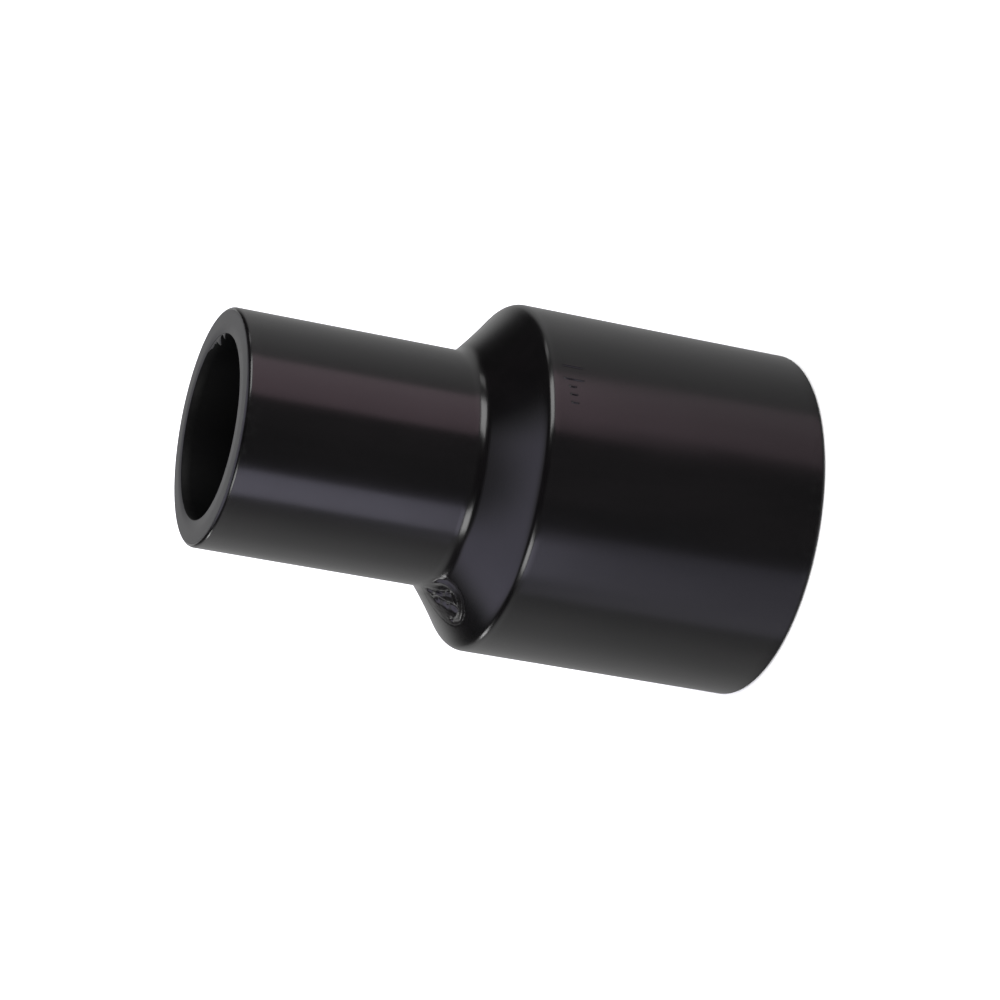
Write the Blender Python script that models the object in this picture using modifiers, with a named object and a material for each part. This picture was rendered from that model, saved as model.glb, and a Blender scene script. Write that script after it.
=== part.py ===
"""Plain-ended pipe reducer for butt fusion, 110 mm to 75 mm, moulded in black polyethylene.

The row stands on its large end. The origin is the centre of that end's face, and +Z runs along
the common axis of both spigots to the small end.
"""

import math

import bmesh
import bpy
from mathutils import Matrix, Vector

# Driving dimensions, in metres. Each spigot is moulded inside its pipe size's tolerance: 110.0 to 110.7
# and 75.0 to 75.5 mm outside.
LARGE_DIAMETER = 0.1106
SMALL_DIAMETER = 0.075
LARGE_WALL = 0.0124
SMALL_WALL = 0.0085
LARGE_LENGTH = 0.0919
SHOULDER_LENGTH = 0.0151
SMALL_LENGTH = 0.0757
SHOULDER_ROUNDING = 0.0037
SHOULDER_FILLET = 0.0060
INNER_CORNER_RADIUS = 0.0030
END_ROUNDING = 0.0015
BORE_CHAMFER = 0.0002

# Where the plain spigots stop and the shaped shoulder begins, and the gap between the sections.
LARGE_JOINT_BELOW_SHOULDER = 0.0040
SMALL_JOINT_ABOVE_SHOULDER = 0.0030
GAP = 0.0003

# The broken-off gate on the shoulder's slope, at an angle round +Z from +X.
GATE_AROUND = math.radians(196)
GATE_UP_SLOPE = 0.0030
GATE_WIDTH = 0.0200
GATE_HEIGHT = 0.0120
GATE_DEPTH = 0.0013
GATE_PROUD = 0.0005
GATE_EDGE = 0.0003

SEGMENTS = 96
CORNER_STEPS = 5
GATE_SEGMENTS = 32

LARGE_RADIUS = LARGE_DIAMETER / 2
SMALL_RADIUS = SMALL_DIAMETER / 2
LARGE_BORE = LARGE_RADIUS - LARGE_WALL
SMALL_BORE = SMALL_RADIUS - SMALL_WALL
SHOULDER_TOP = LARGE_LENGTH + SHOULDER_LENGTH
TOTAL_LENGTH = SHOULDER_TOP + SMALL_LENGTH
LARGE_JOINT = LARGE_LENGTH - LARGE_JOINT_BELOW_SHOULDER
SMALL_JOINT = SHOULDER_TOP + SMALL_JOINT_ABOVE_SHOULDER

# Directions in the plane of the profile, where x is the radius and y is the height.
SLOPE = Vector((SMALL_RADIUS - LARGE_RADIUS, SHOULDER_LENGTH)).normalized()
SLOPE_NORMAL = Vector((SLOPE.y, -SLOPE.x))
MEAN_WALL = (LARGE_WALL + SMALL_WALL) / 2


def clear_scene():
    for old in list(bpy.data.objects):
        bpy.data.objects.remove(old, do_unlink=True)


def new_collection(name):
    collection = bpy.data.collections.new(name)
    bpy.context.scene.collection.children.link(collection)
    return collection


def plastic(name, colour, roughness):
    material = bpy.data.materials.new(name)
    material.use_nodes = True
    shader = material.node_tree.nodes["Principled BSDF"]
    shader.inputs["Base Color"].default_value = (*colour, 1.0)
    shader.inputs["Roughness"].default_value = roughness
    shader.inputs["Metallic"].default_value = 0.0
    return material


def rounded(before, corner, after, radius):
    """Points of the arc that replaces a corner between two straight runs, in the profile's order."""
    back = (before - corner).normalized()
    ahead = (after - corner).normalized()
    half_angle = back.angle(ahead) / 2
    bisector = (back + ahead).normalized()
    centre = corner + bisector * radius / math.sin(half_angle)
    start = corner + back * radius / math.tan(half_angle) - centre
    end = corner + ahead * radius / math.tan(half_angle) - centre
    sweep = start.angle_signed(end)
    return [
        centre + Matrix.Rotation(-sweep * step / CORNER_STEPS, 2) @ start
        for step in range(CORNER_STEPS + 1)
    ]


def inner_cone_height(radius):
    """Height at which the sloping inner wall, a mean wall inside the outer slope, has this radius."""
    on_wall = Vector((LARGE_RADIUS, LARGE_LENGTH)) - SLOPE_NORMAL * MEAN_WALL
    return on_wall.y + (radius - on_wall.x) * SLOPE.y / SLOPE.x


def turned(name, profile, material, collection):
    """A ring turned from a closed profile that runs down its outer side and up its bore."""
    mesh = bpy.data.meshes.new(name)
    count = len(profile)
    edges = [(index, (index + 1) % count) for index in range(count)]
    mesh.from_pydata([(point.x, 0, point.y) for point in profile], edges, [])
    piece = bpy.data.objects.new(name, mesh)
    collection.objects.link(piece)
    screw = piece.modifiers.new("turn", "SCREW")
    screw.axis = "Z"
    screw.angle = 2 * math.pi
    screw.steps = SEGMENTS
    screw.render_steps = SEGMENTS
    screw.use_merge_vertices = True
    screw.merge_threshold = 0.00001
    screw.use_smooth_shade = True
    mesh.materials.append(material)
    return piece


def large_spigot(material, collection):
    top = LARGE_JOINT - GAP / 2
    outer_top = Vector((LARGE_RADIUS, top))
    outer_foot = Vector((LARGE_RADIUS, 0))
    bore_foot = Vector((LARGE_BORE, 0))
    profile = [outer_top]
    profile += rounded(outer_top, outer_foot, bore_foot, END_ROUNDING)
    profile += [
        Vector((LARGE_BORE + BORE_CHAMFER, 0)),
        Vector((LARGE_BORE, BORE_CHAMFER)),
        Vector((LARGE_BORE, top)),
    ]
    return turned("large_spigot", profile, material, collection)


def small_spigot(material, collection):
    foot = SMALL_JOINT + GAP / 2
    bore_top = Vector((SMALL_BORE, TOTAL_LENGTH))
    outer_top = Vector((SMALL_RADIUS, TOTAL_LENGTH))
    outer_foot = Vector((SMALL_RADIUS, foot))
    profile = [
        Vector((SMALL_BORE, TOTAL_LENGTH - BORE_CHAMFER)),
        Vector((SMALL_BORE + BORE_CHAMFER, TOTAL_LENGTH)),
    ]
    profile += rounded(bore_top, outer_top, outer_foot, END_ROUNDING)
    profile += [outer_foot, Vector((SMALL_BORE, foot))]
    return turned("small_spigot", profile, material, collection)


def shoulder(material, collection):
    top = SMALL_JOINT - GAP / 2
    foot = LARGE_JOINT + GAP / 2
    outer_top = Vector((SMALL_RADIUS, top))
    small_corner = Vector((SMALL_RADIUS, SHOULDER_TOP))
    large_corner = Vector((LARGE_RADIUS, LARGE_LENGTH))
    outer_foot = Vector((LARGE_RADIUS, foot))
    bore_foot = Vector((LARGE_BORE, foot))
    bore_large_corner = Vector((LARGE_BORE, inner_cone_height(LARGE_BORE)))
    bore_small_corner = Vector((SMALL_BORE, inner_cone_height(SMALL_BORE)))
    bore_top = Vector((SMALL_BORE, top))
    profile = [outer_top]
    profile += rounded(outer_top, small_corner, large_corner, SHOULDER_FILLET)
    profile += rounded(small_corner, large_corner, outer_foot, SHOULDER_ROUNDING)
    profile += [outer_foot, bore_foot, bore_large_corner]
    profile += rounded(bore_large_corner, bore_small_corner, bore_top, INNER_CORNER_RADIUS)
    profile += [bore_top]
    return turned("shoulder", profile, material, collection)


def gate_frame():
    """Matrix of the gate's seat: X around the shoulder, Y up its slope and Z out of it."""
    middle = Vector(((LARGE_RADIUS + SMALL_RADIUS) / 2, LARGE_LENGTH + SHOULDER_LENGTH / 2))
    middle += SLOPE * GATE_UP_SLOPE
    on_slope = Matrix(
        (
            (0, SLOPE.x, SLOPE_NORMAL.x, middle.x),
            (1, 0, 0, 0),
            (0, SLOPE.y, SLOPE_NORMAL.y, middle.y),
            (0, 0, 0, 1),
        )
    )
    return Matrix.Rotation(GATE_AROUND, 4, "Z") @ on_slope


def oval_disc(name, width, height, low, high, collection):
    """An oval disc in the gate's seat, between two levels along the seat's outward direction."""
    mesh = bpy.data.meshes.new(name)
    shape = bmesh.new()
    bmesh.ops.create_cone(
        shape,
        cap_ends=True,
        segments=GATE_SEGMENTS,
        radius1=0.5,
        radius2=0.5,
        depth=1.0,
        matrix=Matrix.Diagonal((width, height, high - low, 1)),
    )
    bmesh.ops.translate(shape, verts=shape.verts, vec=(0, 0, (low + high) / 2))
    shape.to_mesh(mesh)
    shape.free()
    piece = bpy.data.objects.new(name, mesh)
    piece.matrix_world = gate_frame()
    collection.objects.link(piece)
    return piece


def gate_stub(material, collection):
    piece = oval_disc("gate_stub", GATE_WIDTH, GATE_HEIGHT, GAP - GATE_DEPTH, GATE_PROUD, collection)
    bevel = piece.modifiers.new("worn edge", "BEVEL")
    bevel.width = GATE_EDGE
    bevel.segments = 1
    bevel.limit_method = "ANGLE"
    bevel.angle_limit = math.radians(60)
    piece.data.materials.append(material)
    return piece


def cut_gate_seat(piece, cutters):
    """A shallow oval seat in the shoulder, with the gap all round the gate that stands in it."""
    seat = oval_disc(
        "gate_seat_cutter",
        GATE_WIDTH + 2 * GAP,
        GATE_HEIGHT + 2 * GAP,
        -GATE_DEPTH,
        GATE_DEPTH * 2,
        cutters,
    )
    seat.hide_render = True
    seat.display_type = "WIRE"
    cut = piece.modifiers.new("gate seat", "BOOLEAN")
    cut.operation = "DIFFERENCE"
    cut.solver = "EXACT"
    cut.object = seat


def main():
    clear_scene()
    reducer = new_collection("pipe_reducer")
    cutters = new_collection("cutters")
    cutters.hide_render = True
    skin = plastic("black_polyethylene", (0.012, 0.012, 0.014), 0.32)
    shoulder_skin = plastic("shoulder_polyethylene", (0.011, 0.011, 0.012), 0.34)
    small_skin = plastic("small_end_polyethylene", (0.013, 0.013, 0.015), 0.30)
    torn = plastic("torn_gate_polyethylene", (0.020, 0.020, 0.021), 0.55)
    large_spigot(skin, reducer)
    cut_gate_seat(shoulder(shoulder_skin, reducer), cutters)
    small_spigot(small_skin, reducer)
    gate_stub(torn, reducer)
    print(f"total length {TOTAL_LENGTH * 1000:.1f} mm")


main()
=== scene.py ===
# %% [markdown]
# # A black polyethylene pipe reducer
#
# The real object is one injection moulding. It joins a wide water pipe to a narrow one: each end is a
# plain length of pipe, called a spigot, and a short sloping shoulder lies between them. A fitter clamps
# both spigots in a fusion machine, melts their end faces against the pipes' ends and presses them
# together. Nothing on it moves.
#
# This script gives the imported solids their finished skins. Three skins are turned by one Geometry Nodes
# tree, the torn gate, the raised bars and the burrs are meshes of their own, and every finish is
# procedural.

import math

import bmesh
import bpy
from mathutils import Matrix, Vector, noise


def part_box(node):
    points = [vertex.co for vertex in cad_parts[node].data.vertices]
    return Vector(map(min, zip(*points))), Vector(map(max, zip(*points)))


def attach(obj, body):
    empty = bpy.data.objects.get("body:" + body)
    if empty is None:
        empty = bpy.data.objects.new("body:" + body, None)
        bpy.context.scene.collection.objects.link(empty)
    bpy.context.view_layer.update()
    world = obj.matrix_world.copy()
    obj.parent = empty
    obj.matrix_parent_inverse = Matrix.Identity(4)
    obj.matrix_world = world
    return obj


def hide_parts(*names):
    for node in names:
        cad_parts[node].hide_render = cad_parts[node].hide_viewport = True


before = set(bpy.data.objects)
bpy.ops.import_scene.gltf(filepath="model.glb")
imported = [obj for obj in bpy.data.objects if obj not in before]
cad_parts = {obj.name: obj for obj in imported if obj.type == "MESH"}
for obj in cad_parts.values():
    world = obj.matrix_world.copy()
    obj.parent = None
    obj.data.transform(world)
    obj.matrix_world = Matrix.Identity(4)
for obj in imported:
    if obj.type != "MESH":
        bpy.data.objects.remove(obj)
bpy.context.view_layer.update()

# %% [markdown]
# ## Sizes
#
# Everything that the frame can tell is read from it: the outer radii and heights from each node's box,
# and the bores from the smallest radius of a node's points. The shoulder's own corners are not corners
# of a box, so their heights and roundings are repeated here in metres.

# %% Read the sizes from the frame


def smallest_radius(node):
    """Radius of a node's bore, in metres."""
    return min(math.hypot(v.co.x, v.co.y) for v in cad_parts[node].data.vertices)


large_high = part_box("large_spigot")[1]
small_low, small_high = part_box("small_spigot")
shoulder_low, shoulder_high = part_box("shoulder")

LARGE_RADIUS = large_high.x
SMALL_RADIUS = small_high.x
LARGE_BORE = smallest_radius("large_spigot")
SMALL_BORE = smallest_radius("small_spigot")
TOTAL_LENGTH = small_high.z
LARGE_JOINT = (large_high.z + shoulder_low.z) / 2
SMALL_JOINT = (shoulder_high.z + small_low.z) / 2

LARGE_LENGTH = 0.0919
SHOULDER_LENGTH = 0.0151
SHOULDER_TOP = LARGE_LENGTH + SHOULDER_LENGTH
SHOULDER_ROUNDING = 0.0037
SHOULDER_FILLET = 0.0060
INNER_CORNER_RADIUS = 0.0030
END_ROUNDING = 0.0015
BORE_CHAMFER = 0.0002

print(f"outer radii {LARGE_RADIUS * 1000:.1f} and {SMALL_RADIUS * 1000:.1f} mm")
print(f"bores {LARGE_BORE * 1000:.1f} and {SMALL_BORE * 1000:.1f} mm, length {TOTAL_LENGTH * 1000:.1f} mm")

# %% [markdown]
# ## The camera
#
# The fitting stands on its wide end, and is seen from 20 degrees above the level. The camera is rolled
# on its own axis, so that the fitting seems to lie with its narrow end to the left. It is first aimed
# the ordinary way, with its top towards the sky, and then rolled, because each of the two turns is then
# one plain number. The long lens keeps the two spigots in their true proportion.

# %% Set up the camera
AIM = Vector((-0.0064, 0.0, 0.0857))
CAMERA_DISTANCE = 1.197
CAMERA_ELEVATION = math.radians(19.36)
CAMERA_ROLL = math.radians(-79.8)
LENS_MM = 136.8


def direction(around, elevation):
    """Unit vector away from the fitting: around is 0 towards -Y and grows towards -X."""
    level = math.cos(elevation)
    return Vector((-math.sin(around) * level, -math.cos(around) * level, math.sin(elevation)))


camera_data = bpy.data.cameras.new("camera")
camera_data.lens = LENS_MM
camera_data.sensor_width = 36.0
camera_data.clip_start = 0.05
camera_data.clip_end = 50.0
camera = bpy.data.objects.new("camera", camera_data)
bpy.context.scene.collection.objects.link(camera)
towards_camera = direction(0.0, CAMERA_ELEVATION)
upright = (-towards_camera).to_track_quat("-Z", "Y").to_matrix()
rolled = upright @ Matrix.Rotation(CAMERA_ROLL, 3, "Z")
camera.location = AIM + towards_camera * CAMERA_DISTANCE
camera.rotation_euler = rolled.to_euler()
bpy.context.scene.camera = camera
print("camera at", [round(x, 3) for x in camera.location])

# %% [markdown]
# ## Small helpers for node trees
#
# Shader groups and Geometry Nodes trees are wired the same way, so two short functions do it for both:
# one adds a node with its settings and input values, the other makes a group with named sockets. The last
# two make the nodes that shaders use most: plain sums, and a smooth change between two values.

# %% Node helpers


def add_node(tree, kind, inputs=None, **settings):
    """A new node. inputs maps a socket's name or number to a value or to the socket that feeds it."""
    node = tree.nodes.new(kind)
    for name, value in settings.items():
        setattr(node, name, value)
    for key, value in (inputs or {}).items():
        socket = node.inputs[key]
        if isinstance(value, bpy.types.NodeSocket):
            tree.links.new(value, socket)
        else:
            socket.default_value = value
    return node


def new_group(name, kind, inputs, outputs):
    """A node group, its input node and its output node. A socket is (name, type, default or None)."""
    tree = bpy.data.node_groups.new(name, kind)
    for in_out, sockets in (("INPUT", inputs), ("OUTPUT", outputs)):
        for label, socket_type, default in sockets:
            socket = tree.interface.new_socket(name=label, in_out=in_out, socket_type=socket_type)
            if default is not None:
                socket.default_value = default
    return tree, tree.nodes.new("NodeGroupInput"), tree.nodes.new("NodeGroupOutput")


def shader_math(tree, operation, first, second=0.0, clamp=False):
    """The output of a Math node on one or two values or sockets."""
    values = {0: first, 1: second}
    return add_node(tree, "ShaderNodeMath", values, operation=operation, use_clamp=clamp).outputs[0]


def soft_step(tree, value, low, high, bottom, top):
    """A smooth change from bottom to top as value goes from low to high."""
    values = {"Value": value, "From Min": low, "From Max": high, "To Min": bottom, "To Max": top}
    return add_node(tree, "ShaderNodeMapRange", values, interpolation_type="SMOOTHSTEP").outputs[0]


# %% [markdown]
# ## Finishes
#
# Black pipe polyethylene is almost as dark as soot under its skin. What the eye sees is the skin: it
# mirrors the room softly, and the flow of the melt leaves long faint streaks along the axis. Three
# effects are shared by all four finishes, so each is a group:
#
# * `melt_flow` gives a tone and a slow waviness, drawn out along the axis;
# * `skin_grain` gives a fine relief and a small change of gloss;
# * `rubbed_ends` gives a mask that is strong near the two end faces, where the fitting is handled.

# %% Group: melt flow


def make_melt_flow():
    """Tone and slow waves, both drawn from one place."""
    tree, given, made = new_group(
        "melt_flow",
        "ShaderNodeTree",
        [
            ("Vector", "NodeSocketVector", None),
            ("Streaks Per Metre", "NodeSocketFloat", 60.0),
            ("Drawn Out", "NodeSocketFloat", 0.18),
        ],
        [("Tone", "NodeSocketFloat", None), ("Height", "NodeSocketFloat", None)],
    )
    stretch = add_node(tree, "ShaderNodeCombineXYZ", {0: 1.0, 1: 1.0, 2: given.outputs["Drawn Out"]})
    along = add_node(
        tree,
        "ShaderNodeVectorMath",
        {0: given.outputs["Vector"], 1: stretch.outputs[0]},
        operation="MULTIPLY",
    )
    streaks = add_node(
        tree,
        "ShaderNodeTexNoise",
        {
            "Vector": along.outputs[0],
            "Scale": given.outputs["Streaks Per Metre"],
            "Detail": 3.0,
            "Roughness": 0.55,
            "Distortion": 0.3,
        },
    )
    slow_scale = shader_math(tree, "MULTIPLY", given.outputs["Streaks Per Metre"], 0.45)
    waves = add_node(
        tree,
        "ShaderNodeTexNoise",
        {"Vector": given.outputs["Vector"], "Scale": slow_scale, "Detail": 1.0, "Roughness": 0.4},
    )
    tree.links.new(streaks.outputs["Fac"], made.inputs["Tone"])
    tree.links.new(waves.outputs["Fac"], made.inputs["Height"])
    return tree


melt_flow = make_melt_flow()
print("group", melt_flow.name, "with", len(melt_flow.nodes), "nodes")

# %% Group: skin grain


def make_skin_grain():
    """Fine grain, and a roughness that drifts a little in large patches."""
    tree, given, made = new_group(
        "skin_grain",
        "ShaderNodeTree",
        [
            ("Vector", "NodeSocketVector", None),
            ("Grains Per Metre", "NodeSocketFloat", 2600.0),
            ("Gloss Change", "NodeSocketFloat", 0.05),
            ("Roughness", "NodeSocketFloat", 0.3),
        ],
        [("Height", "NodeSocketFloat", None), ("Roughness", "NodeSocketFloat", None)],
    )
    grain = add_node(
        tree,
        "ShaderNodeTexNoise",
        {
            "Vector": given.outputs["Vector"],
            "Scale": given.outputs["Grains Per Metre"],
            "Detail": 2.0,
            "Roughness": 0.6,
        },
    )
    patch_scale = shader_math(tree, "MULTIPLY", given.outputs["Grains Per Metre"], 0.03)
    patches = add_node(
        tree,
        "ShaderNodeTexNoise",
        {"Vector": given.outputs["Vector"], "Scale": patch_scale, "Detail": 3.0, "Roughness": 0.6},
    )
    centred = shader_math(tree, "SUBTRACT", patches.outputs["Fac"], 0.5)
    change = shader_math(tree, "MULTIPLY", centred, given.outputs["Gloss Change"])
    gloss = shader_math(tree, "ADD", given.outputs["Roughness"], change, clamp=True)
    tree.links.new(grain.outputs["Fac"], made.inputs["Height"])
    tree.links.new(gloss, made.inputs["Roughness"])
    return tree


skin_grain = make_skin_grain()
print("group", skin_grain.name, "with", len(skin_grain.nodes), "nodes")

# %% Group: rubbed ends


def make_rubbed_ends():
    """A patchy mask that fades out within Reach of either end."""
    tree, given, made = new_group(
        "rubbed_ends",
        "ShaderNodeTree",
        [
            ("Vector", "NodeSocketVector", None),
            ("Lower End", "NodeSocketFloat", 0.0),
            ("Upper End", "NodeSocketFloat", TOTAL_LENGTH),
            ("Reach", "NodeSocketFloat", 0.006),
        ],
        [("Mask", "NodeSocketFloat", None)],
    )
    height = add_node(tree, "ShaderNodeSeparateXYZ", {0: given.outputs["Vector"]}).outputs["Z"]
    above_foot = shader_math(tree, "SUBTRACT", height, given.outputs["Lower End"])
    below_top = shader_math(tree, "SUBTRACT", given.outputs["Upper End"], height)
    nearest = shader_math(tree, "MINIMUM", above_foot, below_top)
    share = shader_math(tree, "DIVIDE", nearest, given.outputs["Reach"], clamp=True)
    near = shader_math(tree, "SUBTRACT", 1.0, share)
    scuffs = add_node(
        tree,
        "ShaderNodeTexNoise",
        {"Vector": given.outputs["Vector"], "Scale": 420.0, "Detail": 5.0, "Roughness": 0.7},
    )
    patchy = add_node(
        tree,
        "ShaderNodeMapRange",
        {"Value": scuffs.outputs["Fac"], "From Min": 0.48, "From Max": 0.68, "To Min": 0.0, "To Max": 1.0},
    )
    tree.links.new(shader_math(tree, "MULTIPLY", near, patchy.outputs[0]), made.inputs["Mask"])
    return tree


rubbed_ends = make_rubbed_ends()
print("group", rubbed_ends.name, "with", len(rubbed_ends.nodes), "nodes")

# %% [markdown]
# Each finish is a Principled shader of its own. The groups only hand it colours, roughness and heights.
# The deep colour is kept near 0.6 per cent, since the diffuse share of a black plastic is tiny, and the
# brightness of the bands comes from the lights that the skin mirrors.

# %% Finish builder


def group_node(tree, group, inputs):
    """A node that holds a group. An input that isn't named keeps the group's own value."""
    node = add_node(tree, "ShaderNodeGroup", node_tree=group)
    for key, value in inputs.items():
        if isinstance(value, bpy.types.NodeSocket):
            tree.links.new(value, node.inputs[key])
        else:
            node.inputs[key].default_value = value
    return node


def black_plastic(
    name,
    dark,
    light,
    roughness,
    gloss_change=0.06,
    wave_depth=0.00016,
    grain_depth=0.0000015,
    rubbed=0.004,
    specular=0.5,
    extra_height=None,
):
    """A polyethylene finish. Depths are in metres, and rubbed is the grey of the rubbed ends.

    extra_height(tree, vector) may add one more relief, as (socket, depth).
    """
    material = bpy.data.materials.new(name)
    material.use_nodes = True
    tree = material.node_tree
    shader = tree.nodes["Principled BSDF"]
    shader.inputs["Specular IOR Level"].default_value = specular
    vector = tree.nodes.new("ShaderNodeTexCoord").outputs["Object"]
    flow = group_node(tree, melt_flow, {"Vector": vector})
    skin = group_node(
        tree, skin_grain, {"Vector": vector, "Gloss Change": gloss_change, "Roughness": roughness}
    )
    ends = group_node(tree, rubbed_ends, {"Vector": vector})
    tone = add_node(tree, "ShaderNodeValToRGB", {"Fac": flow.outputs["Tone"]})
    tone.color_ramp.elements[0].position = 0.35
    tone.color_ramp.elements[0].color = (*dark, 1.0)
    tone.color_ramp.elements[1].position = 0.68
    tone.color_ramp.elements[1].color = (*light, 1.0)
    worn = add_node(
        tree,
        "ShaderNodeMix",
        {0: ends.outputs["Mask"], 6: tone.outputs["Color"], 7: (rubbed, rubbed, rubbed, 1.0)},
        data_type="RGBA",
    )
    tree.links.new(worn.outputs[2], shader.inputs["Base Color"])
    tree.links.new(skin.outputs["Roughness"], shader.inputs["Roughness"])
    bump = add_node(
        tree, "ShaderNodeBump", {"Height": flow.outputs["Height"], "Distance": wave_depth, "Strength": 1.0}
    )
    fine = add_node(
        tree,
        "ShaderNodeBump",
        {"Height": skin.outputs["Height"], "Distance": grain_depth, "Normal": bump.outputs[0]},
    )
    last = fine
    if extra_height:
        socket, depth = extra_height(tree, vector)
        last = add_node(
            tree, "ShaderNodeBump", {"Height": socket, "Distance": depth, "Normal": fine.outputs[0]}
        )
    tree.links.new(last.outputs[0], shader.inputs["Normal"])
    print("finish", name)
    return material


def facing_rings(tree, vector):
    """The fine rings that the facing cutter leaves on an end face."""
    rings = add_node(
        tree,
        "ShaderNodeTexWave",
        {"Vector": vector, "Scale": 900.0, "Distortion": 0.6, "Detail": 2.0, "Detail Scale": 1.5},
        wave_type="RINGS",
        rings_direction="Z",
    )
    return rings.outputs["Fac"], 0.0000012


moulded_black = black_plastic("moulded_black", (0.0008, 0.0007, 0.0009), (0.0021, 0.0017, 0.0020), 0.20)
faced_black = black_plastic(
    "faced_black",
    (0.007, 0.007, 0.0072),
    (0.009, 0.009, 0.0092),
    0.44,
    wave_depth=0.00003,
    grain_depth=0.000003,
    rubbed=0.008,
    extra_height=facing_rings,
)
bore_black = black_plastic(
    "bore_black", (0.0018, 0.0018, 0.0019), (0.0026, 0.0026, 0.0027), 0.5, specular=0.08
)
torn_black = black_plastic(
    "torn_black",
    (0.0012, 0.0011, 0.0012),
    (0.0035, 0.0026, 0.003),
    0.24,
    gloss_change=0.15,
    grain_depth=0.000004,
)

# %% [markdown]
# ## The turned skins
#
# All three sections are turned about one axis, so one Geometry Nodes tree makes them. Its input is the
# section's outline as a loop of corner points, each with the radius of its rounding. The tree rounds
# the corners, then lays a grid over outline and angle, and puts each grid point at its place round the
# axis. Spinning a mesh would do as well, but here the number of segments, the roundings and the three
# finishes stay inputs, and the same tree serves every section.
#
# The end faces lie square to the axis and the bore is the innermost wall, so the tree can tell where
# each finish belongs from the place of a face.

# %% Tree: turned section
FACE_TOLERANCE = 0.0001
WELD_DISTANCE = 0.000001


def geometry_math(tree, operation, first, second=0.0):
    """The output of a Math node in a Geometry Nodes tree."""
    return add_node(tree, "ShaderNodeMath", {0: first, 1: second}, operation=operation).outputs[0]


def make_turned_section():
    """The tree that turns an outline into a skin and hands out the three finishes."""
    tree, given, made = new_group(
        "turned_section",
        "GeometryNodeTree",
        [
            ("Outline", "NodeSocketGeometry", None),
            ("Segments", "NodeSocketInt", 256),
            ("Corner Steps", "NodeSocketInt", 8),
            ("Bore Reach", "NodeSocketFloat", 0.03),
            ("Face Height", "NodeSocketFloat", 0.0),
            ("Skin", "NodeSocketMaterial", None),
            ("Face", "NodeSocketMaterial", None),
            ("Bore", "NodeSocketMaterial", None),
        ],
        [("Section", "NodeSocketGeometry", None)],
    )
    curve = add_node(tree, "GeometryNodeMeshToCurve", {"Mesh": given.outputs["Outline"]})
    rounding = add_node(tree, "GeometryNodeInputNamedAttribute", {"Name": "rounding"}, data_type="FLOAT")
    filleted = add_node(
        tree,
        "GeometryNodeFilletCurve",
        {
            "Curve": curve.outputs[0],
            "Radius": rounding.outputs[0],
            "Count": given.outputs["Corner Steps"],
            "Limit Radius": True,
        },
        mode="POLY",
    )
    size = add_node(
        tree, "GeometryNodeAttributeDomainSize", {0: filleted.outputs[0]}, component="CURVE"
    )
    points = size.outputs["Point Count"]
    rows = geometry_math(tree, "ADD", points, 1.0)
    columns = geometry_math(tree, "ADD", given.outputs["Segments"], 1.0)
    grid = add_node(tree, "GeometryNodeMeshGrid", {"Vertices X": rows, "Vertices Y": columns})
    index = tree.nodes.new("GeometryNodeInputIndex").outputs[0]
    row = geometry_math(tree, "FLOOR", geometry_math(tree, "DIVIDE", index, columns))
    column = geometry_math(tree, "SUBTRACT", index, geometry_math(tree, "MULTIPLY", row, columns))
    place = add_node(
        tree,
        "GeometryNodeSampleIndex",
        {
            "Geometry": filleted.outputs[0],
            "Value": tree.nodes.new("GeometryNodeInputPosition").outputs[0],
            "Index": geometry_math(tree, "MODULO", row, points),
        },
        data_type="FLOAT_VECTOR",
        domain="POINT",
    )
    turns = geometry_math(tree, "DIVIDE", column, given.outputs["Segments"])
    angle = geometry_math(tree, "MULTIPLY", turns, 2 * math.pi)
    turned = add_node(
        tree,
        "ShaderNodeVectorRotate",
        {"Vector": place.outputs[0], "Angle": angle},
        rotation_type="Z_AXIS",
    )
    shaped = add_node(
        tree, "GeometryNodeSetPosition", {"Geometry": grid.outputs[0], "Position": turned.outputs[0]}
    )
    sewn = add_node(
        tree,
        "GeometryNodeMergeByDistance",
        {"Geometry": shaped.outputs[0], "Distance": WELD_DISTANCE},
    )
    position = add_node(
        tree, "ShaderNodeSeparateXYZ", {0: tree.nodes.new("GeometryNodeInputPosition").outputs[0]}
    )
    across = geometry_math(
        tree,
        "SQRT",
        geometry_math(
            tree,
            "ADD",
            geometry_math(tree, "POWER", position.outputs["X"], 2.0),
            geometry_math(tree, "POWER", position.outputs["Y"], 2.0),
        ),
    )
    in_bore = geometry_math(tree, "LESS_THAN", across, given.outputs["Bore Reach"])
    from_face = geometry_math(
        tree, "ABSOLUTE", geometry_math(tree, "SUBTRACT", position.outputs["Z"], given.outputs["Face Height"])
    )
    on_face = geometry_math(tree, "LESS_THAN", from_face, FACE_TOLERANCE)
    smooth = add_node(tree, "GeometryNodeSetShadeSmooth", {"Geometry": sewn.outputs[0]})
    whole = add_node(tree, "GeometryNodeRealizeInstances", {"Geometry": smooth.outputs[0]})
    skinned = add_node(
        tree, "GeometryNodeSetMaterial", {"Geometry": whole.outputs[0], "Material": given.outputs["Skin"]}
    )
    bored = add_node(
        tree,
        "GeometryNodeSetMaterial",
        {"Geometry": skinned.outputs[0], "Selection": in_bore, "Material": given.outputs["Bore"]},
    )
    faced = add_node(
        tree,
        "GeometryNodeSetMaterial",
        {"Geometry": bored.outputs[0], "Selection": on_face, "Material": given.outputs["Face"]},
    )
    tree.links.new(faced.outputs[0], made.inputs[0])
    return tree


turned_section = make_turned_section()
print("tree", turned_section.name, "with", len(turned_section.nodes), "nodes")

# %% [markdown]
# A long straight run in the outline is cut into short steps, so that the faces of the skin are nearly
# square and its shading is even. The steps keep clear of the roundings at either end of the run.

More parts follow.
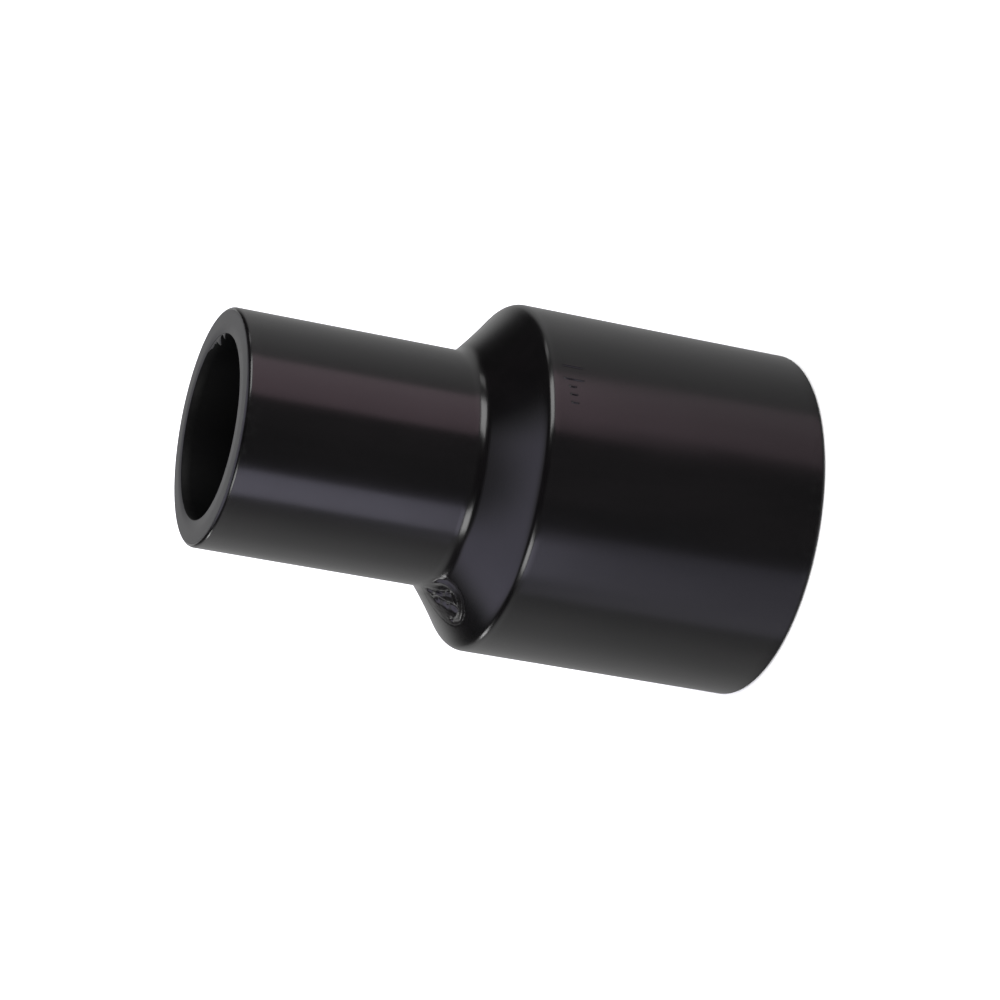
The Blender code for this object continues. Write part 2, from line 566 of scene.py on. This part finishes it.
# %% Outline and skin helpers
STEP_LENGTH = 0.003
FINE_STEP_LENGTH = 0.0008
SEGMENTS = 384
CORNER_STEPS = 8
SHARP_ANGLE = math.radians(50)
BORE_MARGIN = 0.0002
NO_FACE = -1.0


def tangent_length(before, corner, after, rounding):
    """How much of each run a rounding uses up."""
    if rounding <= 0:
        return 0.0
    half = (before - corner).angle(after - corner) / 2
    return rounding / math.tan(half)


def outline_mesh(name, corners, step_length):
    """The closed outline as edges in the XZ plane. A corner is (radius, height, rounding)."""
    places = [Vector((radius, height)) for radius, height, _ in corners]
    count = len(corners)
    used = [
        tangent_length(places[i - 1], places[i], places[(i + 1) % count], corners[i][2])
        for i in range(count)
    ]
    points, roundings = [], []
    for i in range(count):
        j = (i + 1) % count
        points.append(places[i])
        roundings.append(corners[i][2])
        run = places[j] - places[i]
        free = run.length - used[i] - used[j]
        steps = int(free / step_length)
        for step in range(1, steps):
            points.append(places[i] + run.normalized() * (used[i] + free * step / steps))
            roundings.append(0.0)
    mesh = bpy.data.meshes.new(name)
    edges = [(i, (i + 1) % len(points)) for i in range(len(points))]
    mesh.from_pydata([(p.x, 0.0, p.y) for p in points], edges, [])
    attribute = mesh.attributes.new("rounding", "FLOAT", "POINT")
    attribute.data.foreach_set("value", roundings)
    return mesh


def set_inputs(modifier, values):
    """Sets a Geometry Nodes modifier's inputs by the identifiers of their sockets."""
    for item in modifier.node_group.interface.items_tree:
        if item.item_type == "SOCKET" and item.in_out == "INPUT" and item.name in values:
            modifier[item.identifier] = values[item.name]


def plain_mesh(source, name):
    """A new object whose mesh is what source's modifiers make. source is removed."""
    graph = bpy.context.evaluated_depsgraph_get()
    mesh = bpy.data.meshes.new_from_object(source.evaluated_get(graph), depsgraph=graph)
    bpy.data.objects.remove(source, do_unlink=True)
    mesh.name = name
    piece = bpy.data.objects.new(name, mesh)
    bpy.context.scene.collection.objects.link(piece)
    return piece


def turned_skin(name, corners, bore_reach, face_height, step_length=STEP_LENGTH):
    """A section's finished skin: bore finish within bore_reach, face finish at face_height."""
    source = bpy.data.objects.new(name + "_outline", outline_mesh(name + "_outline", corners, step_length))
    bpy.context.scene.collection.objects.link(source)
    modifier = source.modifiers.new("turn", "NODES")
    modifier.node_group = turned_section
    set_inputs(
        modifier,
        {
            "Segments": SEGMENTS,
            "Corner Steps": CORNER_STEPS,
            "Bore Reach": bore_reach,
            "Face Height": face_height,
            "Skin": moulded_black,
            "Face": faced_black,
            "Bore": bore_black,
        },
    )
    piece = plain_mesh(source, name)
    piece.data.set_sharp_from_angle(angle=SHARP_ANGLE)
    print(name, len(piece.data.polygons), "faces")
    return piece


# %% Large spigot
large_skin = turned_skin(
    "large_spigot_skin",
    [
        (LARGE_RADIUS, LARGE_JOINT, 0.0),
        (LARGE_RADIUS, 0.0, END_ROUNDING),
        (LARGE_BORE + BORE_CHAMFER, 0.0, 0.0),
        (LARGE_BORE, BORE_CHAMFER, 0.0),
        (LARGE_BORE, LARGE_JOINT, 0.0),
    ],
    bore_reach=LARGE_BORE + BORE_MARGIN,
    face_height=0.0,
)

# %% Small spigot
small_skin = turned_skin(
    "small_spigot_skin",
    [
        (SMALL_BORE, SMALL_JOINT, 0.0),
        (SMALL_BORE, TOTAL_LENGTH - BORE_CHAMFER, 0.0),
        (SMALL_BORE + BORE_CHAMFER, TOTAL_LENGTH, 0.0),
        (SMALL_RADIUS, TOTAL_LENGTH, END_ROUNDING),
        (SMALL_RADIUS, SMALL_JOINT, 0.0),
    ],
    bore_reach=SMALL_BORE + BORE_MARGIN,
    face_height=TOTAL_LENGTH,
)

# %% [markdown]
# The shoulder's inner wall slopes like its outer one, a mean wall inside it. Its two corners are found
# where that slope meets the two bores. Its steps are finer, because a seat is pressed into it next. It has
# no end face, so its face height is set where nothing is.

# %% Shoulder
slope = Vector((SMALL_RADIUS - LARGE_RADIUS, SHOULDER_LENGTH)).normalized()
slope_normal = Vector((slope.y, -slope.x))
slope_middle = Vector(((LARGE_RADIUS + SMALL_RADIUS) / 2, LARGE_LENGTH + SHOULDER_LENGTH / 2))
mean_wall = (LARGE_RADIUS - LARGE_BORE + SMALL_RADIUS - SMALL_BORE) / 2


def inner_height(radius):
    """Height at which the sloping inner wall has this radius."""
    on_wall = slope_middle - slope_normal * mean_wall
    return on_wall.y + (radius - on_wall.x) * slope.y / slope.x


shoulder_skin = turned_skin(
    "shoulder_skin",
    [
        (SMALL_RADIUS, SMALL_JOINT, 0.0),
        (SMALL_RADIUS, SHOULDER_TOP, SHOULDER_FILLET),
        (LARGE_RADIUS, LARGE_LENGTH, SHOULDER_ROUNDING),
        (LARGE_RADIUS, LARGE_JOINT, 0.0),
        (LARGE_BORE, LARGE_JOINT, 0.0),
        (LARGE_BORE, inner_height(LARGE_BORE), 0.0),
        (SMALL_BORE, inner_height(SMALL_BORE), INNER_CORNER_RADIUS),
        (SMALL_BORE, SMALL_JOINT, 0.0),
    ],
    bore_reach=SMALL_BORE + BORE_MARGIN,
    face_height=NO_FACE,
    step_length=FINE_STEP_LENGTH,
)


def signed_volume(mesh):
    """Volume in cubic millimetres, negative if the faces point inwards."""
    shape = bmesh.new()
    shape.from_mesh(mesh)
    volume = shape.calc_volume(signed=True) * 1e9
    shape.free()
    return volume


for skin in (large_skin, shoulder_skin, small_skin):
    if signed_volume(skin.data) < 0:
        skin.data.flip_normals()
    print(skin.name, f"{signed_volume(skin.data):.0f} cubic mm")

# %% [markdown]
# ## The torn gate
#
# The plastic was injected through a gate on the shoulder's slope. It was cut off by hand, and left an oval
# scar: a lip along part of its edge, and torn grooves and folds across it. A texture's bump would stay flat
# against the outline, so the scar is real geometry: a fine grid bent over the slope and lifted by a relief.
# Each groove or fold is a short line, and its lift fades with the distance from it. Noise bends the lines a
# little, as torn plastic does. The relief is in millimetres, because its folds are about that wide.
#
# The slope itself is hollow by 0.22 mm, as a thick moulding sinks when it cools.
#
# A scar with grooves can't lie on an unbroken skin, so a smooth seat is first pressed into the shoulder,
# deeper than the deepest groove. The grid's border dips under the skin, which hides the join. Only points
# of the outer skin are moved; the bore's wall lies deeper and stays.

# %% Places on the shoulder
MM = 0.001
SLOPE_HOLLOW = 0.22 * MM
SCAR_AROUND = math.radians(198)
SCAR_UP_SLOPE = 5.0 * MM
SCAR_HALF_WIDTH = 9.3 * MM
SCAR_HALF_HEIGHT = 6.6 * MM
SCAR_EDGE = 1.32
SEAT_DEPTH = 1.7 * MM
OUTER_SKIN_DEPTH = 4 * MM

corner_turn = slope_normal.angle(Vector((1, 0)))
half_slope = (LARGE_RADIUS - SMALL_RADIUS) / 2 / -slope.x
straight_end = half_slope - SHOULDER_FILLET * math.tan(corner_turn / 2)


def soft_ramp(value, low, high):
    """0 below low, 1 above high and a smooth change between them."""
    share = min(max((value - low) / (high - low), 0.0), 1.0)
    return share * share * (3 - 2 * share)


def turned_place(flat, angle):
    """The point at this radius and height, turned to an angle round the axis."""
    return Vector((flat.x * math.cos(angle), flat.x * math.sin(angle), flat.y))


def hollow(up):
    """How far the slope sinks between its two roundings. up is measured from its middle."""
    return SLOPE_HOLLOW * max(0.0, 1 - (up / straight_end) ** 2)


def on_shoulder(across, up, lift):
    """A point of the outer skin near the scar, or lift above it. across runs round the shoulder."""
    up += SCAR_UP_SLOPE
    past = max(up - straight_end, 0.0)
    in_fillet = min(past, SHOULDER_FILLET * math.sin(corner_turn))
    bulge = SHOULDER_FILLET - math.sqrt(SHOULDER_FILLET**2 - in_fillet**2)
    bulge += (past - in_fillet) * math.tan(corner_turn)
    flat = slope_middle + slope * up + slope_normal * (bulge - hollow(up) + lift)
    return turned_place(flat, SCAR_AROUND - across / flat.x)


def scar_distance(across, up):
    """1 on the scar's main lip, less inside it and more outside."""
    return math.hypot(across / SCAR_HALF_WIDTH, up / SCAR_HALF_HEIGHT)


for vertex in shoulder_skin.data.vertices:
    radius = math.hypot(vertex.co.x, vertex.co.y)
    flat = Vector((radius, vertex.co.z))
    around = math.atan2(vertex.co.y, vertex.co.x) % math.tau
    if (flat - slope_middle).dot(slope_normal) < -OUTER_SKIN_DEPTH:
        continue
    up = (flat - slope_middle).dot(slope)
    reach = scar_distance((SCAR_AROUND - around) * radius, up - SCAR_UP_SLOPE)
    seat = SEAT_DEPTH * (1 - soft_ramp(reach, SCAR_EDGE - 0.35, SCAR_EDGE - 0.05))
    vertex.co = turned_place(flat - slope_normal * (hollow(up) + seat), around)
print("seat pressed", SEAT_DEPTH * 1000, "mm into the slope")

# %% Relief helper


def relief_patch(name, width, height, spacing, place, relief, floor, material):
    """A closed piece with a fine grid on top. place(across, up, lift) is a point on the skin."""
    columns = round(width / spacing)
    rows = round(height / spacing)
    shape = bmesh.new()
    grid = []
    for row in range(rows + 1):
        up = (row / rows - 0.5) * height
        line = []
        for column in range(columns + 1):
            across = (column / columns - 0.5) * width
            line.append(shape.verts.new(place(across, up, relief(across, up))))
        grid.append(line)
    for below, above in zip(grid, grid[1:]):
        for i in range(columns):
            shape.faces.new((below[i], below[i + 1], above[i + 1], above[i]))
    rim = [(row, 0) for row in range(rows)] + [(rows, column) for column in range(columns)]
    rim += [(row, columns) for row in range(rows, 0, -1)] + [(0, column) for column in range(columns, 0, -1)]
    sunk = []
    for row, column in rim:
        across, up = (column / columns - 0.5) * width, (row / rows - 0.5) * height
        sunk.append(shape.verts.new(place(across, up, floor)))
    middle = shape.verts.new(place(0.0, 0.0, floor))
    for i in range(len(rim)):
        j = (i + 1) % len(rim)
        over, over_next = grid[rim[i][0]][rim[i][1]], grid[rim[j][0]][rim[j][1]]
        shape.faces.new((over, over_next, sunk[j], sunk[i]))
        shape.faces.new((sunk[i], sunk[j], middle))
    bmesh.ops.recalc_face_normals(shape, faces=shape.faces)
    if shape.calc_volume(signed=True) < 0:
        bmesh.ops.reverse_faces(shape, faces=shape.faces)
    mesh = bpy.data.meshes.new(name)
    shape.to_mesh(mesh)
    shape.free()
    mesh.shade_smooth()
    mesh.set_sharp_from_angle(angle=math.radians(70))
    mesh.materials.append(material)
    piece = bpy.data.objects.new(name, mesh)
    bpy.context.scene.collection.objects.link(piece)
    print(name, len(mesh.polygons), "faces")
    return piece


def ridge(distance, width):
    """1 on a fold's crest, falling softly to 0 on both sides."""
    return math.exp(-((distance / width) ** 2))


def sector(angle, middle, half, soft):
    """1 within half of the middle direction, in degrees, and 0 beyond half plus soft."""
    off = abs((angle - middle + 180) % 360 - 180)
    return 1 - soft_ramp(off, half, half + soft)


def stroke_distance(point, start, end):
    """How far a point lies from the straight line between start and end."""
    start, end = Vector(start), Vector(end)
    run = end - start
    share = min(max((point - start).dot(run) / run.length_squared, 0.0), 1.0)
    return (point - start - run * share).length


# %% Gate scar
DEEPEST_TEAR = 1.5
SUNK_BORDER = 0.35
FOLDS = [
    # start and end (across, up), half width and lift, all in millimetres
    ((5.0, 5.6), (-5.6, 0.9), 0.70, -0.85),
    ((5.0, 3.4), (-3.0, 2.2), 0.60, 0.22),
    ((4.0, 1.8), (-2.8, -3.4), 1.15, -0.95),
    ((0.4, -1.2), (-1.6, -0.4), 0.50, 0.35),
    ((-7.4, -0.4), (-4.0, -4.6), 0.90, -0.50),
    ((2.2, -6.0), (3.2, -6.2), 0.70, -0.35),
]


def scar_relief(across, up):
    """Lift of the torn surface. Directions: 0 runs on round the shoulder, 90 up the slope."""
    reach = scar_distance(across, up)
    angle = math.degrees(math.atan2(up / SCAR_HALF_HEIGHT, across / SCAR_HALF_WIDTH))
    point = Vector((across, up)) / MM
    at = point.to_3d()
    torn = Vector((noise.noise(at * 0.35), noise.noise(at * 0.35 + Vector((9, 4, 2))))) * 0.5
    lip = ridge(reach - 1 - 0.05 * noise.noise(at * 0.3), 0.095)
    lift = 0.55 * lip * sector(angle, 190, 60, 40)
    for start, end, half_width, fold_lift in FOLDS:
        lift += fold_lift * ridge(stroke_distance(point + torn, start, end), half_width)
    rough = 0.06 * noise.noise(at * 0.28) + 0.025 * noise.noise(at * 0.9)
    lift += rough * (1 - soft_ramp(reach, 0.9, 1.25))
    lift = max(lift, -DEEPEST_TEAR)
    buried = soft_ramp(reach, SCAR_EDGE - 0.05, SCAR_EDGE + 0.1)
    return (lift * (1 - soft_ramp(reach, 1.15, SCAR_EDGE)) - SUNK_BORDER * buried) * MM


gate_scar = relief_patch(
    "gate_scar",
    width=2.1 * SCAR_EDGE * SCAR_HALF_WIDTH,
    height=2.1 * SCAR_EDGE * SCAR_HALF_HEIGHT,
    spacing=0.16 * MM,
    place=on_shoulder,
    relief=scar_relief,
    floor=-SEAT_DEPTH * 0.95,
    material=torn_black,
)

# %% [markdown]
# ## The raised mark
#
# Fittings like this carry raised characters near the shoulder. Five plain bars stand here instead of them.
# The same helper makes them: between the bars its grid lies just under the skin, so only the bars come
# through. Each is a straight line with round ends, and its relief depends only on the distance to it.

# %% Raised mark
MARK_AROUND = math.radians(306)
MARK_HEIGHT = 84.7 * MM
STROKE_LIFT = 0.45
UNDER_SKIN = 0.12
STROKES = [
    # start and end (across, up), half width, all in millimetres
    ((-6.6, -3.2), (-6.6, 2.8), 0.30),
    ((-1.6, -3.2), (-1.6, 2.8), 0.36),
    ((1.2, -0.6), (1.2, 1.2), 0.34),
    ((4.0, -0.9), (4.0, 0.9), 0.34),
    ((6.8, -1.2), (6.8, 0.6), 0.34),
]


def on_large_spigot(across, up, lift):
    """A point of the large spigot's skin near the mark, or lift above it."""
    flat = Vector((LARGE_RADIUS + lift, MARK_HEIGHT + up))
    return turned_place(flat, MARK_AROUND - across / LARGE_RADIUS)


def mark_relief(across, up):
    """Lift of the bars: full inside a bar, and just under the skin between bars."""
    point = Vector((across, up)) / MM
    lift = 0.0
    for start, end, half_width in STROKES:
        beyond = stroke_distance(point, start, end) - half_width
        lift = max(lift, 1 - soft_ramp(beyond, -0.15, 0.22))
    return (lift * (STROKE_LIFT + UNDER_SKIN) - UNDER_SKIN) * MM


raised_mark = relief_patch(
    "raised_mark",
    width=15.5 * MM,
    height=8.5 * MM,
    spacing=0.08 * MM,
    place=on_large_spigot,
    relief=mark_relief,
    floor=-0.6 * MM,
    material=moulded_black,
)

# %% [markdown]
# ## The burrs on the bore's edge
#
# The narrow end was sawn and faced, and the cutter pushed a thin ragged lip of plastic over the bore's
# edge. It is a short curved plate whose inner edge follows a sum of soft peaks, one for each tooth, and
# which droops into the bore where it sticks out furthest.

# %% Bore burrs
BURR_TEETH = [
    # direction from +X in degrees, half width in degrees, how far it sticks out in mm
    (6.8, 1.6, 1.5),
    (18.5, 3.4, 2.3),
    (24.5, 2.0, 0.9),
    (30.0, 4.5, 0.8),
]
BURR_START, BURR_END = math.radians(3.0), math.radians(38.0)
BURR_ROOT = 0.5 * MM
BURR_THICKNESS = 0.22 * MM
BURR_COLUMNS = 140
BURR_ROWS = 8


def burr_reach(angle):
    """How far the lip sticks out into the bore, in metres."""
    degrees = math.degrees(angle)
    teeth = max(out * ridge(degrees - middle, half) for middle, half, out in BURR_TEETH)
    ragged = 0.25 * noise.noise(Vector((degrees * 0.9, 0.0, 5.0)))
    return (teeth + ragged * min(teeth, 1.0)) * MM


def make_bore_burrs():
    """A thin plate with an upper and an under sheet, joined all round their border."""
    shape = bmesh.new()
    sheets = []
    for thickness in (0.0, BURR_THICKNESS):
        sheet = []
        for column in range(BURR_COLUMNS + 1):
            angle = BURR_START + (BURR_END - BURR_START) * column / BURR_COLUMNS
            out = burr_reach(angle)
            line = []
            for row in range(BURR_ROWS + 1):
                share = row / BURR_ROWS
                radius = SMALL_BORE + BURR_ROOT - (BURR_ROOT + out) * share
                droop = 0.05 * MM + 0.45 * out * share**2
                thin = thickness * (1 - 0.7 * share)
                flat = Vector((radius, TOTAL_LENGTH - droop - thin))
                line.append(shape.verts.new(turned_place(flat, angle)))
            sheet.append(line)
        sheets.append(sheet)
    top, under = sheets
    for i in range(BURR_COLUMNS):
        for j in range(BURR_ROWS):
            shape.faces.new((top[i][j], top[i + 1][j], top[i + 1][j + 1], top[i][j + 1]))
            shape.faces.new((under[i][j], under[i][j + 1], under[i + 1][j + 1], under[i + 1][j]))
        for j in (0, BURR_ROWS):
            shape.faces.new((top[i][j], top[i + 1][j], under[i + 1][j], under[i][j]))
    for i in (0, BURR_COLUMNS):
        for j in range(BURR_ROWS):
            shape.faces.new((top[i][j], top[i][j + 1], under[i][j + 1], under[i][j]))
    bmesh.ops.recalc_face_normals(shape, faces=shape.faces)
    mesh = bpy.data.meshes.new("bore_burrs")
    shape.to_mesh(mesh)
    shape.free()
    mesh.shade_smooth()
    mesh.set_sharp_from_angle(angle=math.radians(60))
    mesh.materials.append(faced_black)
    piece = bpy.data.objects.new("bore_burrs", mesh)
    bpy.context.scene.collection.objects.link(piece)
    return piece


bore_burrs = make_bore_burrs()
print("bore_burrs", len(bore_burrs.data.polygons), "faces,", f"{signed_volume(bore_burrs.data):.1f} cubic mm")

# %% Tie the pieces to the frame
for skin, node in ((large_skin, "large_spigot"), (shoulder_skin, "shoulder"), (small_skin, "small_spigot")):
    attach(skin, "root")
    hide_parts(node)

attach(gate_scar, "root")
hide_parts("gate_stub")

for detail in (raised_mark, bore_burrs):
    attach(detail, "root")
print("6 pieces ride the root, and 4 of them replace the solids")

# %% [markdown]
# ## Floor and light
#
# The studio is plain: a pale floor, white walls that fade towards the front, dark cloth behind the camera,
# and two soft boxes beside the camera, each with dimmer strips below it. Black plastic shows only what it
# mirrors, so the strips become the long soft bands on the spigots, the cloth becomes the dark band between
# them, and the walls become the pale rims. The right strips are slightly rose and the left ones violet.
#
# The shoulder's slope looks up, so it mirrors none of these. A dim panel overhead, drawn in the world, gives
# it its pale middle. Where a panel at height 1 would be cut, side / rise and depth / rise are its edges.
# Only mirror-like rays see this drawn room. All others meet one even brightness, which lights the floor.

# %% Floor
FLOOR_SIZE = 12.0

floor_shape = bmesh.new()
bmesh.ops.create_grid(floor_shape, x_segments=1, y_segments=1, size=FLOOR_SIZE / 2)
floor_mesh = bpy.data.meshes.new("floor")
floor_shape.to_mesh(floor_mesh)
floor_shape.free()
floor = bpy.data.objects.new("floor", floor_mesh)
bpy.context.scene.collection.objects.link(floor)
floor_paint = bpy.data.materials.new("pale_floor")
floor_paint.use_nodes = True
paint = floor_paint.node_tree.nodes["Principled BSDF"]
paint.inputs["Base Color"].default_value = (0.9, 0.9, 0.9, 1.0)
paint.inputs["Roughness"].default_value = 0.9
paint.inputs["Specular IOR Level"].default_value = 0.1
floor_mesh.materials.append(floor_paint)
# The plastic mirrors the room drawn below, not this floor.
floor.visible_glossy = False
floor.visible_shadow = False
print("floor", FLOOR_SIZE, "m wide")

# %% Lights
LIGHT_DISTANCE = 1.2
LIGHT_CENTRE = Vector((0.0, 0.0, 0.10))
NEUTRAL = (1.0, 1.0, 1.0)
ROSE = (1.24, 0.88, 1.03)
VIOLET = (0.98, 0.94, 1.19)


def soft_box(name, around, low, high, width, radiance, colour=NEUTRAL):
    """A rectangular light facing the fitting. Angles are in degrees; radiance 1 is white."""
    middle = math.radians((low + high) / 2)
    away = direction(math.radians(around), middle)
    lamp = bpy.data.lights.new(name, "AREA")
    lamp.shape = "RECTANGLE"
    lamp.size = 2 * LIGHT_DISTANCE * math.tan(math.radians(width) / 2)
    lamp.size_y = 2 * LIGHT_DISTANCE * math.tan(math.radians(high - low) / 2)
    lamp.energy = radiance * math.pi * lamp.size * lamp.size_y
    lamp.color = colour
    box = bpy.data.objects.new(name, lamp)
    box.location = LIGHT_CENTRE + away * LIGHT_DISTANCE
    box.rotation_euler = (-away).to_track_quat("-Z", "Y").to_euler()
    box.visible_camera = False
    bpy.context.scene.collection.objects.link(box)
    print(name, f"{lamp.size:.2f} by {lamp.size_y:.2f} m, {lamp.energy:.1f} W")


soft_box("right_box", -57, 8, 36, 33, 5.0)
soft_box("far_right_box", -98, 10, 28, 12, 1.6)
soft_box("right_strip", -57, -22, 3, 39, 0.86, ROSE)
soft_box("right_low_strip", -64, -42, -22, 34, 0.38, ROSE)
soft_box("left_box", 46, 8, 36, 22, 6.0)
soft_box("left_strip", 46, -19, 3, 26, 1.75, VIOLET)
soft_box("left_low_strip", 50, -42, -19, 43, 0.48, VIOLET)
soft_box("far_left_box", 119, 10, 22, 9, 6.0)
soft_box("back_panel", 180, 8, 42, 44, 0.7)

# %% World
EVEN_LIGHT = 1.8

world = bpy.data.worlds.new("studio")
bpy.context.scene.world = world
world.use_nodes = True
room = world.node_tree
room.nodes.clear()
looking = room.nodes.new("ShaderNodeTexCoord").outputs["Generated"]
heading = add_node(room, "ShaderNodeSeparateXYZ", {0: looking})
side, depth, rise = heading.outputs


walls = soft_step(room, depth, -0.8, 0.2, 0.0, 0.62)
for share in (
    soft_step(room, depth, 0.5, 0.95, 1.0, 0.65),  # dimmer straight behind
    soft_step(room, side, -1.0, 1.0, 1.0, 0.8),  # a little dimmer towards +X
    soft_step(room, rise, 0.0, 0.3, 1.0, 0.02),  # upper edge
    soft_step(room, rise, -0.6, -0.2, 0.1, 1.0),  # foot
):
    walls = shader_math(room, "MULTIPLY", walls, share)
overhead = shader_math(room, "MAXIMUM", rise, 0.01)
panel_side = shader_math(room, "DIVIDE", side, overhead)
panel_depth = shader_math(room, "DIVIDE", depth, overhead)
ceiling = soft_step(room, panel_side, -1.35, -0.8, 0.0, 1.05)
for edge in (
    soft_step(room, panel_side, 0.2, 0.62, 1.0, 0.0),  # edge towards +X
    soft_step(room, panel_depth, -0.30, -0.05, 0.15, 1.0),  # a fading near edge
    soft_step(room, panel_depth, -0.5, -0.28, 0.0, 1.0),  # and its end
    soft_step(room, panel_depth, 0.55, 1.2, 1.0, 0.0),  # far edge
):
    ceiling = shader_math(room, "MULTIPLY", ceiling, edge)
cloth = soft_step(room, rise, 0.0, 0.4, 0.115, 0.02)
ground_glow = soft_step(room, rise, -0.95, -0.6, 0.3, 0.0)
mirrored = walls
for part in (ceiling, cloth, ground_glow):
    mirrored = shader_math(room, "ADD", mirrored, part)
tint = add_node(
    room, "ShaderNodeMix", {0: ceiling, 6: (*NEUTRAL, 1.0), 7: (*VIOLET, 1.0)}, data_type="RGBA"
).outputs[2]
path = room.nodes.new("ShaderNodeLightPath")
strength = add_node(
    room, "ShaderNodeMix", {0: path.outputs["Is Glossy Ray"], 2: EVEN_LIGHT, 3: mirrored}, data_type="FLOAT"
)
sky = add_node(room, "ShaderNodeBackground", {"Color": tint, "Strength": strength.outputs[0]})
add_node(room, "ShaderNodeOutputWorld", {"Surface": sky.outputs[0]})
world.cycles.sampling_method = "NONE"
print("world", world.name, "with", len(room.nodes), "nodes")
bpy.context.scene.view_settings.view_transform = "Standard"
